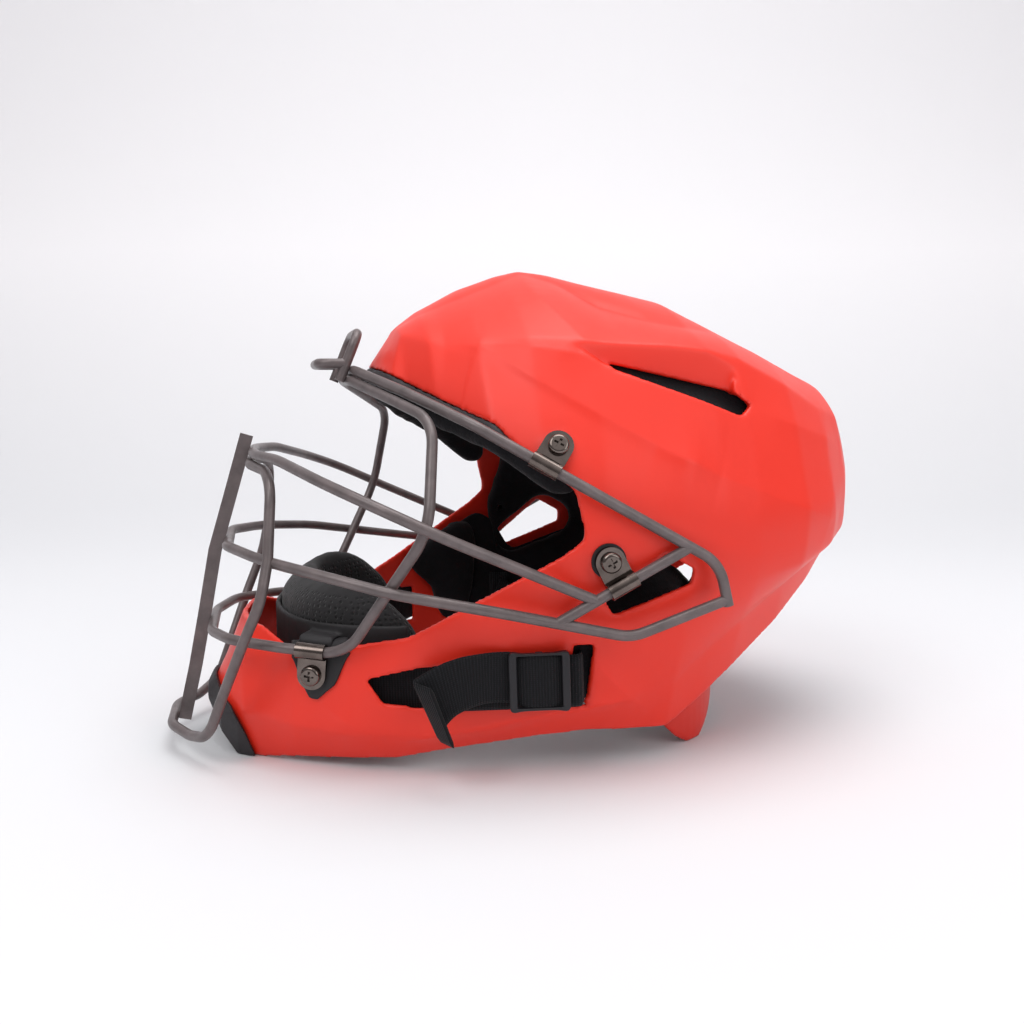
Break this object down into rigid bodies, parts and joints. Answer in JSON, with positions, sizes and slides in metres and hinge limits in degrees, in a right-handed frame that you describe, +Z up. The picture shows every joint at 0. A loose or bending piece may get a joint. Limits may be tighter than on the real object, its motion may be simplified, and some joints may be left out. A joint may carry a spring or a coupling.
{
  "type": "baseball catcher helmet",
  "caption": "Hockey style baseball catcher helmet: faceted shell with its jaw, welded wire face cage on clips, chin cup, liner pads, strap sliders and a sprung back plate.",
  "frame": {"origin": "centre of the helmet's box, on the surface it stands on", "axes": "+Z up through the crown, +Y to the rear of the helmet, +X to the wearer's left; the face looks along -Y"},
  "size_m": [0.23, 0.346, 0.228],
  "materials": {
    "shell_plastic": "matte moulded plastic with a soft sheen",
    "plate_plastic": "matte moulded plastic",
    "trim": "dull black rubber",
    "cage_paint": "satin dark grey powder coat",
    "screw_metal": "dark nickel plate",
    "nut_steel": "plain zinc plated steel",
    "clip_metal": "dark nickel plate",
    "rivet_metal": "black painted rivets",
    "soft_rubber": "matte black rubber",
    "cushion_fabric": "black mesh fabric over foam",
    "lining_fabric": "black brushed fabric over foam",
    "slider_plastic": "black moulded plastic",
    "webbing": "black woven webbing"
  },
  "bodies": {
    "helmet": {"brow_clip_left": "clip_metal", "brow_clip_right": "clip_metal", "brow_visor": "trim", "chin_bumper": "trim", "chin_cup": "soft_rubber", "chin_cushion": "cushion_fabric", "chin_loop_bar": "cage_paint", "clip_nuts": "nut_steel", "clip_screws": "screw_metal", "crown_guard_forward": "cage_paint", "crown_guard_upright": "cage_paint", "crown_pad": "lining_fabric", "ear_clip_left": "clip_metal", "ear_clip_right": "clip_metal", "ear_grommets": "soft_rubber", "eye_bar": "cage_paint", "eye_frame_bar": "cage_paint", "forehead_pad": "lining_fabric", "i_bar": "cage_paint", "jaw_clip_left": "clip_metal", "jaw_clip_right": "clip_metal", "jaw_pad_left": "lining_fabric", "jaw_pad_right": "lining_fabric", "mouth_bar": "cage_paint", "outer_shell": "shell_plastic", "perimeter_bar": "cage_paint", "rear_centre_strap": "webbing", "rear_pad": "lining_fabric", "rear_strap_left": "webbing", "rear_strap_right": "webbing", "side_link_bar_left": "cage_paint", "side_link_bar_right": "cage_paint", "side_pad_left": "lining_fabric", "side_pad_right": "lining_fabric", "strap_left": "webbing", "strap_right": "webbing"},
    "back_plate": {"back_plate": "plate_plastic", "back_plate_pad": "lining_fabric", "back_plate_rivets": "rivet_metal"},
    "slider_left": {"strap_slider_left": "slider_plastic", "strap_tail_left": "webbing"},
    "slider_right": {"strap_slider_right": "slider_plastic", "strap_tail_right": "webbing"}
  },
  "joints": [
    {"name": "back_plate_slide", "type": "slide", "parent": "helmet", "child": "back_plate", "axis": [0, 1, 0], "range_m": [0, 0.025], "stiffness_N_per_m": 300, "deforming": ["rear_strap_left", "rear_strap_right", "rear_centre_strap"]},
    {"name": "slider_left_slide", "type": "slide", "parent": "helmet", "child": "slider_left", "axis": [0.2138, 0.973, 0.0868], "range_m": [-0.012, 0.004]},
    {"name": "slider_right_slide", "type": "slide", "parent": "helmet", "child": "slider_right", "axis": [-0.2138, 0.973, 0.0868], "range_m": [-0.012, 0.004]}
  ]
}
